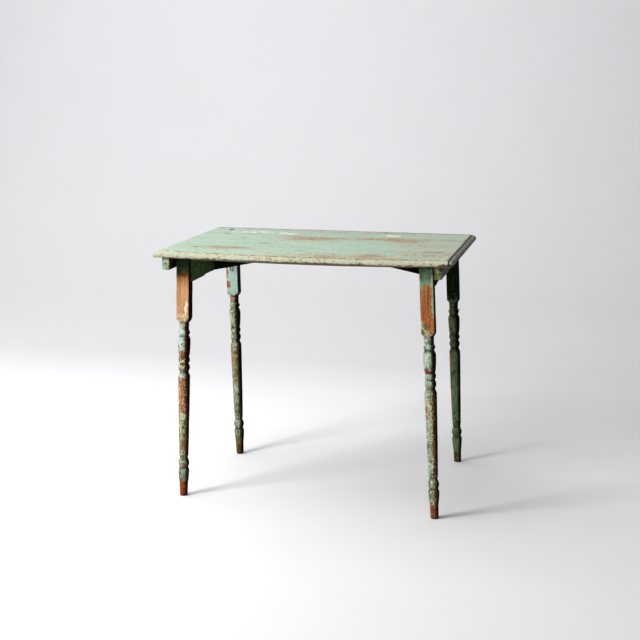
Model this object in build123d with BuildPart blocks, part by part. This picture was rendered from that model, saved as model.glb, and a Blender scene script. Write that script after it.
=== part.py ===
from build123d import *
import math
import os

# Small painted folding table: boarded top with a moulded edge, two turned leg
# frames hinged under the top and one wooden brace pivoted in each leg rail.
# Frame: +X along the table, +Y across it to the back, +Z up, origin on the floor.

# Overall sizes
table_length = 820
table_width = 598
table_height = 711
top_thickness = 19
board_count = 4

# Moulded edge of the top
edge_width = 12
edge_quirk = 2
edge_nose = 7
edge_undercut = 3

# Cross cleats screwed under both ends
cleat_width = 20
cleat_depth = 35
cleat_end_gap = 12
left_cleat_inset = 22
right_cleat_inset = 30

# Turned legs
leg_square = 36
leg_end_inset = 52.5
leg_edge_gap = 5
nest_gap = 3.5
leg_spare = 10
shoulder_start = 17
shoulder_rise = 12
shoulder_slope = 1.04

# Turned profile: (radius, height) of each feature on a leg of profile_height
profile_height = 692
foot_tip_radius = 9
foot_rim = (11, 3)
foot_top = (12, 40)
lower_bulb_side = (14.1, 57)
lower_bulb = (14.9, 72)
lower_bulb_top = (14, 80)
bulb_groove = (11.5, 84)
upper_bulb_side = (14.2, 88)
upper_bulb = (15.2, 98)
ankle_top = (11.6, 110)
ankle = (10.8, 114)
taper_start = (12.6, 119)
taper_middle = (15.1, 225)
taper_end = (16.5, 347)
taper_shoulder = (15.4, 354)
groove_radius = 13.2
taper_groove = 358
lower_bead = (367, 375, 383)
upper_bead = (389, 396.5, 404)
top_bead = (469, 475, 481)
bead_radius = 15.8
vase_foot = (14.3, 408)
vase_side = (16.6, 428)
vase = (17, 449)
vase_top = (16, 459)
vase_groove = 465
neck_foot = (13, 496)
neck_ring = (14.3, 496.6, 499.4)
neck_top = (13, 500)
shoulder_curve = (14, 505)
block_foot_height = 508

# Lean of each leg in degrees: foot outward from the table centre, foot toward +Y
left_splay = 0
right_splay = 2.7
front_left_lean = (1.12, 0.28)
back_left_lean = (-2.31, -1.8)
front_right_lean = (2.86, 0.3)
back_right_lean = (2.67, 0.6)

# Rails between the legs of one frame
rail_thickness = 22
rail_depth = 74
rail_top_gap = 1
rail_relief = 3
rail_relief_length = 220
rail_top_spare = 2
tenon_length = 16
tenon_thickness = 10
tenon_depth = 44
tenon_root = 30

# Butt hinges between rails and top
hinge_length = 60
hinge_reach = 22
hinge_plate = 1.5
hinge_barrel = 3
hinge_pin = 1.25
hinge_spacing = 240
hinge_play = 0.05
hinge_screw_share = 0.6
knuckle_gap = 0.2
knuckle_relief = 0.3
pin_proud = 0.5

# Braces and their pivots
brace_thickness = 22
brace_depth = 24
brace_end = 84
brace_seat = 1
pivot_radius = 3
pivot_play = 0.08
bracket_plate = 2
bracket_width = 18
bracket_side_gap = 0.5
bracket_flange = 22
bracket_rise = 9
notch_clearance = 8

# Screws
screw_radius = 1.4
screw_head = 2.8
screw_length = 13
screw_point = 1
cleat_screw_radius = 2
cleat_screw_head = 4
cleat_screw_countersink = 2.5
cleat_screw_bite = 12

# Wire staple on the back left leg
staple_width = 10
staple_height = 20
staple_wire = 2
staple_drop = 99
staple_prong = 7

# Derived positions
half_length = table_length / 2
half_width = table_width / 2
underside = table_height - top_thickness
board_width = table_width / board_count
inner_face = half_length - leg_end_inset - leg_square
leg_line = half_length - leg_end_inset - leg_square / 2
wide_line = half_width - leg_edge_gap - leg_square / 2
narrow_line = wide_line - leg_square - nest_gap
hinge_x = inner_face - hinge_barrel
hinge_z = underside - hinge_barrel
rail_bottom = hinge_barrel - rail_depth
rail_top = hinge_barrel + rail_top_spare
rail_mid = hinge_barrel + rail_thickness / 2
pivot_up = rail_bottom + brace_depth / 2
notch_half = brace_thickness / 2 + bracket_side_gap + bracket_plate
notch_top = rail_bottom + brace_depth + notch_clearance
profile_scale = underside / profile_height
block_foot = block_foot_height * profile_scale
knuckle = hinge_length / 5

os.makedirs("parts", exist_ok=True)


def save(solid, label):
    solid.label = label
    export_step(solid, "parts/" + label + ".step")


# ---------------------------------------------------------------- directions
def frame_axes(side, splay):
    """Outward and upward directions of a leg frame on one side of the table."""
    lean = math.radians(splay)
    outward = Vector(side * math.cos(lean), 0, math.sin(lean))
    upward = Vector(-side * math.sin(lean), 0, math.cos(lean))
    return outward, upward


def frame_point(side, splay, out, y, up):
    """Point given from the hinge axis: outward, along Y and up the frame."""
    outward, upward = frame_axes(side, splay)
    return Vector(side * hinge_x, y, hinge_z) + outward * out + upward * up


def elevation(side, splay, out):
    """Plane of the rail's broad face; its local x is +Y on the right, -Y on the left."""
    outward, upward = frame_axes(side, splay)
    origin = frame_point(side, splay, out, 0, 0)
    return Plane(origin=origin, x_dir=(0, side, 0), z_dir=outward)


def leg_axes(side, lean):
    """Upward, crosswise and lengthwise directions of one leg."""
    slope_x = -side * math.tan(math.radians(lean[0]))
    slope_y = -math.tan(math.radians(lean[1]))
    upward = Vector(slope_x, slope_y, 1).normalized()
    cross = Vector(0, upward.Z, -upward.Y).normalized()
    return upward, cross, cross.cross(upward)


def leg_foot(side, y, lean):
    """Centre of the foot on the floor for a leg whose top centre sits at (leg_line, y)."""
    upward = leg_axes(side, lean)[0]
    top = Vector(side * leg_line, y, underside)
    return top - upward * (underside / upward.Z)


def leg_plane(side, y, lean):
    upward, cross, along = leg_axes(side, lean)
    return Plane(origin=leg_foot(side, y, lean), x_dir=along, z_dir=upward)


def turning_plane(side, y, lean):
    upward, cross, along = leg_axes(side, lean)
    return Plane(origin=leg_foot(side, y, lean), x_dir=along, z_dir=along.cross(upward))


# ---------------------------------------------------------------- shared shapes
def end_outline():
    """Section of the top along X with the moulded edge at both ends."""
    outer = half_length
    field = half_length - edge_width
    with BuildLine() as line:
        Line((-outer + edge_undercut, underside), (outer - edge_undercut, underside))
        TangentArc(
            (outer, underside + edge_nose), (outer - edge_undercut, underside), tangent=(0, -1)
        )
        TangentArc(
            (outer, underside + edge_nose), (field, table_height - edge_quirk), tangent=(0, 1)
        )
        Polyline(
            (field, table_height - edge_quirk),
            (field, table_height),
            (-field, table_height),
            (-field, table_height - edge_quirk),
        )
        TangentArc(
            (-outer, underside + edge_nose), (-field, table_height - edge_quirk), tangent=(0, 1)
        )
        TangentArc(
            (-outer, underside + edge_nose), (-outer + edge_undercut, underside), tangent=(0, -1)
        )
    return line


def side_waste(side):
    """Area outside the moulded edge on the front (-1) or back (+1) of the top."""
    outer = side * half_width
    field = side * (half_width - edge_width)
    beyond = side * (half_width + edge_width)
    with BuildLine() as line:
        Polyline(
            (field, table_height - edge_quirk),
            (field, table_height + edge_quirk),
            (beyond, table_height + edge_quirk),
            (beyond, underside - edge_quirk),
            (outer - side * edge_undercut, underside - edge_quirk),
            (outer - side * edge_undercut, underside),
        )
        TangentArc(
            (outer, underside + edge_nose),
            (outer - side * edge_undercut, underside),
            tangent=(0, -1),
        )
        TangentArc(
            (outer, underside + edge_nose), (field, table_height - edge_quirk), tangent=(0, 1)
        )
    return line


def on_leg(radius, height):
    """Point of the turned profile, its height scaled to this leg."""
    return (radius, height * profile_scale)


def bead(low, middle, high):
    ThreePointArc(
        on_leg(groove_radius, low), on_leg(bead_radius, middle), on_leg(groove_radius, high)
    )


def turning_outline():
    """Half section of the turned leg: local x is the radius, local y the height."""
    below_floor = (0, -foot_rim[1])
    above_shoulder = block_foot + shoulder_rise / 2
    ring_radius, ring_low, ring_high = neck_ring
    with BuildLine() as line:
        Polyline(below_floor, (foot_tip_radius, -foot_rim[1]), on_leg(*foot_rim), on_leg(*foot_top))
        ThreePointArc(on_leg(*foot_top), on_leg(*lower_bulb_side), on_leg(*lower_bulb))
        ThreePointArc(on_leg(*lower_bulb), on_leg(*lower_bulb_top), on_leg(*bulb_groove))
        ThreePointArc(on_leg(*bulb_groove), on_leg(*upper_bulb_side), on_leg(*upper_bulb))
        Polyline(
            on_leg(*upper_bulb), on_leg(*ankle_top), on_leg(*ankle), on_leg(*taper_start)
        )
        ThreePointArc(on_leg(*taper_start), on_leg(*taper_middle), on_leg(*taper_end))
        ThreePointArc(
            on_leg(*taper_end), on_leg(*taper_shoulder), on_leg(groove_radius, taper_groove)
        )
        Line(on_leg(groove_radius, taper_groove), on_leg(groove_radius, lower_bead[0]))
        bead(*lower_bead)
        Line(on_leg(groove_radius, lower_bead[2]), on_leg(groove_radius, upper_bead[0]))
        bead(*upper_bead)
        Line(on_leg(groove_radius, upper_bead[2]), on_leg(*vase_foot))
        ThreePointArc(on_leg(*vase_foot), on_leg(*vase_side), on_leg(*vase))
        ThreePointArc(on_leg(*vase), on_leg(*vase_top), on_leg(groove_radius, vase_groove))
        Line(on_leg(groove_radius, vase_groove), on_leg(groove_radius, top_bead[0]))
        bead(*top_bead)
        Polyline(
            on_leg(groove_radius, top_bead[2]),
            on_leg(*neck_foot),
            on_leg(ring_radius, ring_low),
            on_leg(ring_radius, ring_high),
            on_leg(*neck_top),
        )
        ThreePointArc(on_leg(*neck_top), on_leg(*shoulder_curve), (shoulder_start, block_foot))
        Polyline(
            (shoulder_start, block_foot),
            (shoulder_start, above_shoulder),
            (0, above_shoulder),
            below_floor,
        )
    return line


def knuckle_centres(kind):
    """Centres along the hinge of the knuckles of the top leaf or the rail leaf."""
    if kind == "top":
        return [-2 * knuckle, 0, 2 * knuckle]
    return [-knuckle, knuckle]


def knuckle_plane(side, y):
    return Plane(origin=(side * hinge_x, y, hinge_z), x_dir=(1, 0, 0), z_dir=(0, 1, 0))


# ---------------------------------------------------------------- screw groups
def cleat_x(side):
    inset = left_cleat_inset if side < 0 else right_cleat_inset
    return side * (half_length - inset - cleat_width / 2)


def fix_screw(origin, inward, head, radius, length, plate):
    """Screw whose head face is at origin and whose tip lies along inward."""
    across = Vector(0, 1, 0)
    profile = Plane(origin=origin, x_dir=across, z_dir=across.cross(inward))
    with BuildPart() as body:
        with BuildSketch(profile):
            with BuildLine():
                Polyline(
                    (0, 0),
                    (head, 0),
                    (radius, plate),
                    (radius, length),
                    (0, length + screw_point),
                    (0, 0),
                )
            make_face()
        revolve(axis=Axis(origin, inward))
    return body.part


with BuildPart() as cleat_screws:
    for side in (-1, 1):
        for index in range(board_count):
            y = -half_width + board_width * (index + 0.5)
            start = Vector(cleat_x(side), y, underside - cleat_depth)
            add(
                fix_screw(
                    start,
                    Vector(0, 0, 1),
                    cleat_screw_head,
                    cleat_screw_radius,
                    cleat_depth + cleat_screw_bite,
                    cleat_screw_countersink,
                )
            )
save(cleat_screws.part, "cleat_screws")

hinge_rows = (-hinge_spacing / 2, hinge_spacing / 2)
screw_rows = (-hinge_length / 3, 0, hinge_length / 3)

with BuildPart() as top_hinge_screws:
    for side in (-1, 1):
        for row in hinge_rows:
            for step in screw_rows:
                start = Vector(
                    side * (hinge_x - hinge_reach * hinge_screw_share),
                    row + step,
                    underside - hinge_plate,
                )
                add(
                    fix_screw(
                        start, Vector(0, 0, 1), screw_head, screw_radius, screw_length, hinge_plate
                    )
                )
save(top_hinge_screws.part, "top_hinge_screws")


# ---------------------------------------------------------------- top boards
for index in range(board_count):
    start = -half_width + board_width * index
    with BuildPart() as board:
        with BuildSketch(Plane.XZ.offset(-start - board_width)):
            add(end_outline())
            make_face()
        extrude(amount=board_width)
        if index == 0 or index == board_count - 1:
            edge = -1 if index == 0 else 1
            with BuildSketch(Plane.YZ.offset(-table_length)):
                add(side_waste(edge))
                make_face()
            extrude(amount=2 * table_length, mode=Mode.SUBTRACT)
        add(cleat_screws.part, mode=Mode.SUBTRACT)
        add(top_hinge_screws.part, mode=Mode.SUBTRACT)
    save(board.part, "top_board_%d" % (index + 1))

# ---------------------------------------------------------------- cleats
for side, name in ((-1, "left"), (1, "right")):
    with BuildPart() as cleat:
        with BuildSketch(Plane.XY.offset(underside - cleat_depth)):
            with Locations((cleat_x(side), 0)):
                Rectangle(cleat_width, table_width - 2 * cleat_end_gap)
        extrude(amount=cleat_depth)
        add(cleat_screws.part, mode=Mode.SUBTRACT)
    save(cleat.part, name + "_cleat")

# ---------------------------------------------------------------- leg frames
frames = (
    (-1, "left", left_splay, narrow_line, front_left_lean, back_left_lean),
    (1, "right", right_splay, wide_line, front_right_lean, back_right_lean),
)
for side, name, splay, line_y, front_lean, back_lean in frames:
    outward, upward = frame_axes(side, splay)
    legs = (("front", -line_y, front_lean), ("back", line_y, back_lean))
    rail_centre_up = (rail_bottom + rail_top) / 2
    tenon_up = (rail_bottom + hinge_barrel) / 2
    shoulder = line_y - leg_square / 2

    # Screws of the rail leaves and of the pivot brackets
    with BuildPart() as rail_screws:
        for row in hinge_rows:
            for step in screw_rows:
                start = frame_point(
                    side,
                    splay,
                    hinge_barrel - hinge_plate,
                    row + step,
                    -hinge_reach * hinge_screw_share,
                )
                add(
                    fix_screw(start, outward, screw_head, screw_radius, screw_length, hinge_plate)
                )
    save(rail_screws.part, name + "_hinge_screws")

    with BuildPart() as bracket_screws:
        for end in (-1, 1):
            start = frame_point(
                side,
                splay,
                rail_mid,
                end * (notch_half + bracket_flange / 2),
                rail_bottom + rail_relief - bracket_plate,
            )
            add(
                fix_screw(start, upward, screw_head, screw_radius, screw_length, bracket_plate)
            )
    save(bracket_screws.part, name + "_bracket_screws")

    # Rail: shouldered against both legs, tenoned into them, notched for the brace
    with BuildPart() as rail:
        with BuildSketch(elevation(side, splay, hinge_barrel)):
            with Locations((0, rail_centre_up)):
                Rectangle(2 * line_y, rail_top - rail_bottom)
            with Locations((0, rail_bottom)):
                Rectangle(rail_relief_length, 2 * rail_relief, mode=Mode.SUBTRACT)
            with Locations((0, rail_bottom)):
                Rectangle(2 * notch_half, 2 * (notch_top - rail_bottom), mode=Mode.SUBTRACT)
        extrude(amount=rail_thickness)
        for place, y, lean in legs:
            with BuildSketch(leg_plane(side, y, lean).offset(block_foot)):
                Rectangle(leg_square, leg_square)
            extrude(amount=underside - block_foot + leg_spare, mode=Mode.SUBTRACT)
        split(bisect_by=Plane.XY.offset(underside - rail_top_gap), keep=Keep.BOTTOM)
        for end in (-1, 1):
            with BuildSketch(elevation(side, splay, rail_mid - tenon_thickness / 2)):
                middle = shoulder + (tenon_length - tenon_root) / 2
                with Locations((end * side * middle, tenon_up)):
                    Rectangle(tenon_length + tenon_root, tenon_depth)
            extrude(amount=tenon_thickness)
        add(rail_screws.part, mode=Mode.SUBTRACT)
        add(bracket_screws.part, mode=Mode.SUBTRACT)
    save(rail.part, name + "_rail")

    # Legs: square block, turned shaft, mortise, ends trimmed to top and floor
    for place, y, lean in legs:
        inward = -1 if y > 0 else 1
        with BuildPart() as leg:
            with BuildSketch(leg_plane(side, y, lean).offset(block_foot)):
                Rectangle(leg_square, leg_square)
            extrude(amount=underside - block_foot + leg_spare)
            with BuildSketch(turning_plane(side, y, lean)):
                with BuildLine():
                    Polyline(
                        (shoulder_start - 1, block_foot - 1),
                        (leg_square, block_foot - 1),
                        (leg_square, block_foot + shoulder_slope * (leg_square - shoulder_start)),
                        (shoulder_start - 1, block_foot - 1),
                    )
                make_face()
            revolve(
                axis=Axis(leg_foot(side, y, lean), leg_axes(side, lean)[0]), mode=Mode.SUBTRACT
            )
            with BuildSketch(turning_plane(side, y, lean)):
                add(turning_outline())
                make_face()
            revolve(axis=Axis(leg_foot(side, y, lean), leg_axes(side, lean)[0]))
            split(bisect_by=Plane.XY.offset(underside), keep=Keep.BOTTOM)
            split(bisect_by=Plane.XY, keep=Keep.TOP)
            with BuildSketch(elevation(side, splay, rail_mid - tenon_thickness / 2)):
                tenon_y = y + inward * (leg_square - tenon_length + tenon_root) / 2
                with Locations((side * tenon_y, tenon_up)):
                    Rectangle(tenon_length + tenon_root, tenon_depth)
            extrude(amount=tenon_thickness, mode=Mode.SUBTRACT)
            if side < 0 and y > 0:
                up_dir, cross, along = leg_axes(side, lean)
                face = leg_foot(side, y, lean) + up_dir * (underside - staple_drop)
                face = face - cross * (leg_square / 2)
                for hand in (-1, 1):
                    hole = face + along * (hand * (staple_width - staple_wire) / 2)
                    hole = hole + up_dir * (staple_height / 2 - staple_wire / 2)
                    with BuildSketch(Plane(origin=hole, x_dir=along, z_dir=cross)):
                        Circle(staple_wire / 2)
                    extrude(amount=staple_prong, mode=Mode.SUBTRACT)
        save(leg.part, name + "_leg_" + place)

    # Hinges: top leaf, rail leaf and pin
    for row, place in zip(hinge_rows, ("front", "back")):
        with BuildPart() as top_leaf:
            with BuildSketch(Plane.XY.offset(underside - hinge_plate)):
                with Locations((side * (hinge_x - hinge_reach / 2), row)):
                    Rectangle(hinge_reach, hinge_length)
            extrude(amount=hinge_plate)
            for step in knuckle_centres("rail"):
                with BuildSketch(knuckle_plane(side, row + step)):
                    Circle(hinge_barrel + knuckle_relief)
                extrude(amount=knuckle / 2, both=True, mode=Mode.SUBTRACT)
            for step in knuckle_centres("top"):
                with BuildSketch(knuckle_plane(side, row + step)):
                    Circle(hinge_barrel)
                extrude(amount=knuckle / 2 - knuckle_gap, both=True)
            with BuildSketch(knuckle_plane(side, row)):
                Circle(hinge_pin + hinge_play)
            extrude(amount=hinge_length, both=True, mode=Mode.SUBTRACT)
            add(top_hinge_screws.part, mode=Mode.SUBTRACT)
        save(top_leaf.part, name + "_hinge_" + place + "_top_leaf")

        with BuildPart() as rail_leaf:
            with BuildSketch(elevation(side, splay, hinge_barrel - hinge_plate)):
                with Locations((side * row, -hinge_reach / 2)):
                    Rectangle(hinge_length, hinge_reach)
            extrude(amount=hinge_plate)
            for step in knuckle_centres("top"):
                with BuildSketch(knuckle_plane(side, row + step)):
                    Circle(hinge_barrel + knuckle_relief)
                extrude(amount=knuckle / 2, both=True, mode=Mode.SUBTRACT)
            for step in knuckle_centres("rail"):
                with BuildSketch(knuckle_plane(side, row + step)):
                    Circle(hinge_barrel)
                extrude(amount=knuckle / 2 - knuckle_gap, both=True)
            with BuildSketch(knuckle_plane(side, row)):
                Circle(hinge_pin)
            extrude(amount=hinge_length, both=True, mode=Mode.SUBTRACT)
            add(rail_screws.part, mode=Mode.SUBTRACT)
        save(rail_leaf.part, name + "_hinge_" + place + "_rail_leaf")

        with BuildPart() as pin:
            with BuildSketch(knuckle_plane(side, row)):
                Circle(hinge_pin)
            extrude(amount=hinge_length / 2 + pin_proud, both=True)
        save(pin.part, name + "_hinge_" + place + "_pin")

    # Pivot of the brace: two angle brackets in the notch and one pin across them
    pivot = frame_point(side, splay, rail_mid, 0, pivot_up)
    inner = notch_half - bracket_plate
    outer = notch_half + bracket_flange
    seat = rail_bottom + rail_relief
    for end, place in ((-1, "front"), (1, "back")):
        with BuildPart() as bracket:
            with BuildSketch(elevation(side, splay, rail_mid - bracket_width / 2)):
                with BuildLine():
                    Polyline(
                        (end * side * inner, pivot_up + bracket_rise),
                        (end * side * notch_half, pivot_up + bracket_rise),
                        (end * side * notch_half, seat),
                        (end * side * outer, seat),
                        (end * side * outer, seat - bracket_plate),
                        (end * side * inner, seat - bracket_plate),
                        (end * side * inner, pivot_up + bracket_rise),
                    )
                make_face()
            extrude(amount=bracket_width)
            with BuildSketch(Plane(origin=pivot, x_dir=(1, 0, 0), z_dir=(0, 1, 0))):
                Circle(pivot_radius)
            extrude(amount=notch_half, both=True, mode=Mode.SUBTRACT)
            add(bracket_screws.part, mode=Mode.SUBTRACT)
        save(bracket.part, name + "_pivot_bracket_" + place)

    with BuildPart() as pivot_pin:
        with BuildSketch(Plane(origin=pivot, x_dir=(1, 0, 0), z_dir=(0, 1, 0))):
            Circle(pivot_radius)
        extrude(amount=notch_half, both=True)
    save(pivot_pin.part, name + "_pivot_pin")

    # Brace: round outer end on the pivot pin, inner end cut flat against the top
    run = abs(pivot.X) - brace_end
    rise = underside + brace_seat - brace_depth / 2 - pivot.Z
    angle = math.atan2(rise, run)
    along = Vector(-side * math.cos(angle), math.sin(angle))
    across = Vector(side * math.sin(angle), math.cos(angle))
    centre = Vector(pivot.X, pivot.Z)
    half = brace_depth / 2
    top_start = centre + across * half
    bottom_start = centre - across * half
    top_end = top_start + along * ((underside - top_start.Y) / along.Y)
    bottom_end = bottom_start + along * ((abs(bottom_start.X) - brace_end) / math.cos(angle))
    with BuildPart() as brace:
        with BuildSketch(Plane.XZ):
            with BuildLine():
                Polyline(
                    (top_start.X, top_start.Y),
                    (top_end.X, top_end.Y),
                    (side * brace_end, underside),
                    (bottom_end.X, bottom_end.Y),
                    (bottom_start.X, bottom_start.Y),
                )
                ThreePointArc(
                    (bottom_start.X, bottom_start.Y),
                    (centre.X - along.X * half, centre.Y - along.Y * half),
                    (top_start.X, top_start.Y),
                )
            make_face()
        extrude(amount=brace_thickness / 2, both=True)
        with BuildSketch(Plane(origin=pivot, x_dir=(1, 0, 0), z_dir=(0, 1, 0))):
            Circle(pivot_radius + pivot_play)
        extrude(amount=brace_thickness, both=True, mode=Mode.SUBTRACT)
    save(brace.part, name + "_brace")

# ---------------------------------------------------------------- wire staple
up_dir, cross, along = leg_axes(-1, back_left_lean)
face = leg_foot(-1, narrow_line, back_left_lean) + up_dir * (underside - staple_drop)
face = face - cross * (leg_square / 2)
bow = staple_width / 2
bow_inside = bow - staple_wire
arm_top = staple_height / 2
arm_foot = bow - staple_height / 2
with BuildPart() as staple:
    with BuildSketch(Plane(origin=face, x_dir=along, z_dir=-cross)):
        with BuildLine():
            Line((-bow, arm_top), (-bow, arm_foot))
            ThreePointArc((-bow, arm_foot), (0, arm_foot - bow), (bow, arm_foot))
            Polyline(
                (bow, arm_foot), (bow, arm_top), (bow_inside, arm_top), (bow_inside, arm_foot)
            )
            ThreePointArc(
                (bow_inside, arm_foot), (0, arm_foot - bow_inside), (-bow_inside, arm_foot)
            )
            Polyline((-bow_inside, arm_foot), (-bow_inside, arm_top), (-bow, arm_top))
        make_face()
    extrude(amount=staple_wire)
    for hand in (-1, 1):
        hole = face + along * (hand * (staple_width - staple_wire) / 2)
        hole = hole + up_dir * (staple_height / 2 - staple_wire / 2)
        with BuildSketch(Plane(origin=hole, x_dir=along, z_dir=cross)):
            Circle(staple_wire / 2)
        extrude(amount=staple_prong)
save(staple.part, "left_leg_staple")
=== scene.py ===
import math

import bmesh
import bpy
from mathutils import Matrix, Vector, noise


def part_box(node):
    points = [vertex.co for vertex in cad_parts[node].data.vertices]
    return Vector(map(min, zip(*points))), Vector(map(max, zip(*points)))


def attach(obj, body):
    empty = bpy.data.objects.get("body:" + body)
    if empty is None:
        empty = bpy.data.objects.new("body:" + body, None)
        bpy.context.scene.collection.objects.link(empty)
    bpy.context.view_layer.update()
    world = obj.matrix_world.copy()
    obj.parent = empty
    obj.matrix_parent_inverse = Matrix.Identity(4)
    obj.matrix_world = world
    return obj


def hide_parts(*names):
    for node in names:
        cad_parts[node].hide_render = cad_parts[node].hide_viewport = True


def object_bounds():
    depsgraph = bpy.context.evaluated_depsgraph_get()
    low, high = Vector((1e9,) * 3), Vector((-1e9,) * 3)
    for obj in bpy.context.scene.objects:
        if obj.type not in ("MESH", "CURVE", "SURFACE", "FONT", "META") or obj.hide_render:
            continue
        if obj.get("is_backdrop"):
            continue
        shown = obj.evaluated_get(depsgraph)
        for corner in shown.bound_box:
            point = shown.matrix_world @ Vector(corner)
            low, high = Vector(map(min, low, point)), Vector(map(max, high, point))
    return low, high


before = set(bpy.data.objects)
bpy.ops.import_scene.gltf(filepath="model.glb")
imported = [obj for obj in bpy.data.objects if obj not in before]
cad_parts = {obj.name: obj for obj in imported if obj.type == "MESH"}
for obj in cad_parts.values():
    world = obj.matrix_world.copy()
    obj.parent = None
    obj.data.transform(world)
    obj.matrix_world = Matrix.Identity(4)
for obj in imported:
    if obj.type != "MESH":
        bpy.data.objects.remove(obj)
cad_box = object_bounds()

# ---------------------------------------------------------------- sizes taken from the frame
HIGH = cad_box[1]
HALF_X = HIGH.x
HALF_Y = HIGH.y
TABLE_TOP = HIGH.z
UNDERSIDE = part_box("top_board_2")[0].z
THICKNESS = TABLE_TOP - UNDERSIDE

# Top: its boards, the width and heights of the moulded edge, and the bow of the front board, in metres
BOARDS = 4
EDGE_WIDTH = 0.012
EDGE_QUIRK = 0.002
EDGE_NOSE = 0.007
EDGE_UNDERCUT = 0.003
FRONT_SAG = 0.0065

# Unevenness of the boards, as heights in metres
JOINT_CROWN = 0.00035
BOARD_WAVE = 0.00025
BOARD_DENT = 0.00018
ARRIS_WEAR = 0.0009
CORNER_CHIP = 0.0035

# Turned legs: half the side of the square block, and the height that the turning is drawn to
BLOCK_HALF = 0.018
PROFILE_HEIGHT = 0.692

SHARP_ANGLE = math.radians(38)


# ---------------------------------------------------------------- material helpers
def tone(red, green, blue):
    """Linear colour from the usual 0 to 255 numbers."""
    shares = [channel / 255 for channel in (red, green, blue)]
    linear = [s / 12.92 if s <= 0.04045 else ((s + 0.055) / 1.055) ** 2.4 for s in shares]
    return (*linear, 1.0)


class Paint:
    """Adds nodes to one new material and joins them up."""

    def __init__(self, name):
        self.material = bpy.data.materials.new(name)
        self.material.use_nodes = True
        self.tree = self.material.node_tree
        self.tree.nodes.clear()
        coordinates = self.add("ShaderNodeTexCoord")
        self.place = coordinates.outputs["Object"]
        self.facing_x = self.add(
            "ShaderNodeSeparateXYZ", {"Vector": coordinates.outputs["Normal"]}
        ).outputs[0]
        axes = self.add("ShaderNodeSeparateXYZ", {"Vector": self.place})
        self.x, self.y, self.z = axes.outputs

    def add(self, kind, inputs=None, **settings):
        made = self.tree.nodes.new(kind)
        for key, value in settings.items():
            setattr(made, key, value)
        for key, value in (inputs or {}).items():
            if isinstance(value, bpy.types.NodeSocket):
                self.tree.links.new(value, made.inputs[key])
            else:
                made.inputs[key].default_value = value
        return made

    def math(self, operation, first, second=0.0, third=0.0):
        made = self.add("ShaderNodeMath", operation=operation)
        for index, value in enumerate((first, second, third)):
            if isinstance(value, bpy.types.NodeSocket):
                self.tree.links.new(value, made.inputs[index])
            else:
                made.inputs[index].default_value = value
        return made.outputs[0]

    def times(self, first, second):
        return self.math("MULTIPLY", first, second)

    def mix(self, share, first, second):
        made = self.add("ShaderNodeMix", data_type="RGBA", blend_type="MIX")
        for index, value in ((0, share), (6, first), (7, second)):
            if isinstance(value, bpy.types.NodeSocket):
                self.tree.links.new(value, made.inputs[index])
            else:
                made.inputs[index].default_value = value
        return made.outputs[2]

    def spread(self, value, low, high, start=0.0, end=1.0):
        """Smooth step: start below low, end above high."""
        made = self.add(
            "ShaderNodeMapRange",
            {"Value": value, "From Min": low, "From Max": high, "To Min": start, "To Max": end},
            interpolation_type="SMOOTHSTEP",
        )
        return made.outputs["Result"]

    def noise(self, stretch, detail=4.0, roughness=0.55, seed=0.0, distortion=0.0):
        moved = self.add("ShaderNodeVectorMath", operation="MULTIPLY_ADD")
        self.tree.links.new(self.place, moved.inputs[0])
        moved.inputs[1].default_value = stretch
        moved.inputs[2].default_value = (seed * 3.7, seed * 1.9, seed * 5.3)
        made = self.add(
            "ShaderNodeTexNoise",
            {
                "Vector": moved.outputs[0],
                "Scale": 1.0,
                "Detail": detail,
                "Roughness": roughness,
                "Distortion": distortion,
            },
        )
        return made.outputs["Fac"]

    def ramp(self, value, stops):
        """Colour ramp through (position, colour) stops."""
        made = self.add("ShaderNodeValToRGB", {"Fac": value})
        elements = made.color_ramp.elements
        elements[0].position, elements[0].color = stops[0]
        elements[1].position, elements[1].color = stops[-1]
        for position, colour in stops[1:-1]:
            element = elements.new(position)
            element.color = colour
        return made.outputs["Color"]

    def level(self, value, stops):
        """Grey ramp through (position, level) stops."""
        return self.ramp(value, [(place, (grey, grey, grey, 1.0)) for place, grey in stops])

    def bump(self, height, strength, distance, under=None):
        inputs = {"Height": height, "Strength": strength, "Distance": distance}
        if under is not None:
            inputs["Normal"] = under
        return self.add("ShaderNodeBump", inputs).outputs["Normal"]

    def finish(self, colour, roughness, normal, metallic=None, specular=0.35):
        shader = self.add(
            "ShaderNodeBsdfPrincipled",
            {"Base Color": colour, "Roughness": roughness, "Normal": normal},
        )
        shader.inputs["Specular IOR Level"].default_value = specular
        if metallic is not None:
            shader.inputs["Metallic"].default_value = metallic
        out = self.add("ShaderNodeOutputMaterial")
        self.tree.links.new(shader.outputs["BSDF"], out.inputs["Surface"])
        return self.material


# ---------------------------------------------------------------- mesh helpers
def piece(name, vertices, faces, material, body, nodes):
    """Makes a mesh piece that stands for CAD nodes and rides on a body."""
    mesh = bpy.data.meshes.new(name)
    mesh.from_pydata(vertices, [], faces)
    made = bpy.data.objects.new(name, mesh)
    bpy.context.scene.collection.objects.link(made)
    tidy = bmesh.new()
    tidy.from_mesh(mesh)
    bmesh.ops.remove_doubles(tidy, verts=tidy.verts, dist=1e-6)
    bmesh.ops.dissolve_degenerate(tidy, edges=tidy.edges, dist=1e-7)
    bmesh.ops.recalc_face_normals(tidy, faces=tidy.faces)
    tidy.to_mesh(mesh)
    tidy.free()
    mesh.materials.append(material)
    mesh.shade_smooth()
    mesh.set_sharp_from_angle(angle=SHARP_ANGLE)
    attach(made, body)
    if nodes:
        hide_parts(*nodes)
    return made


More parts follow.
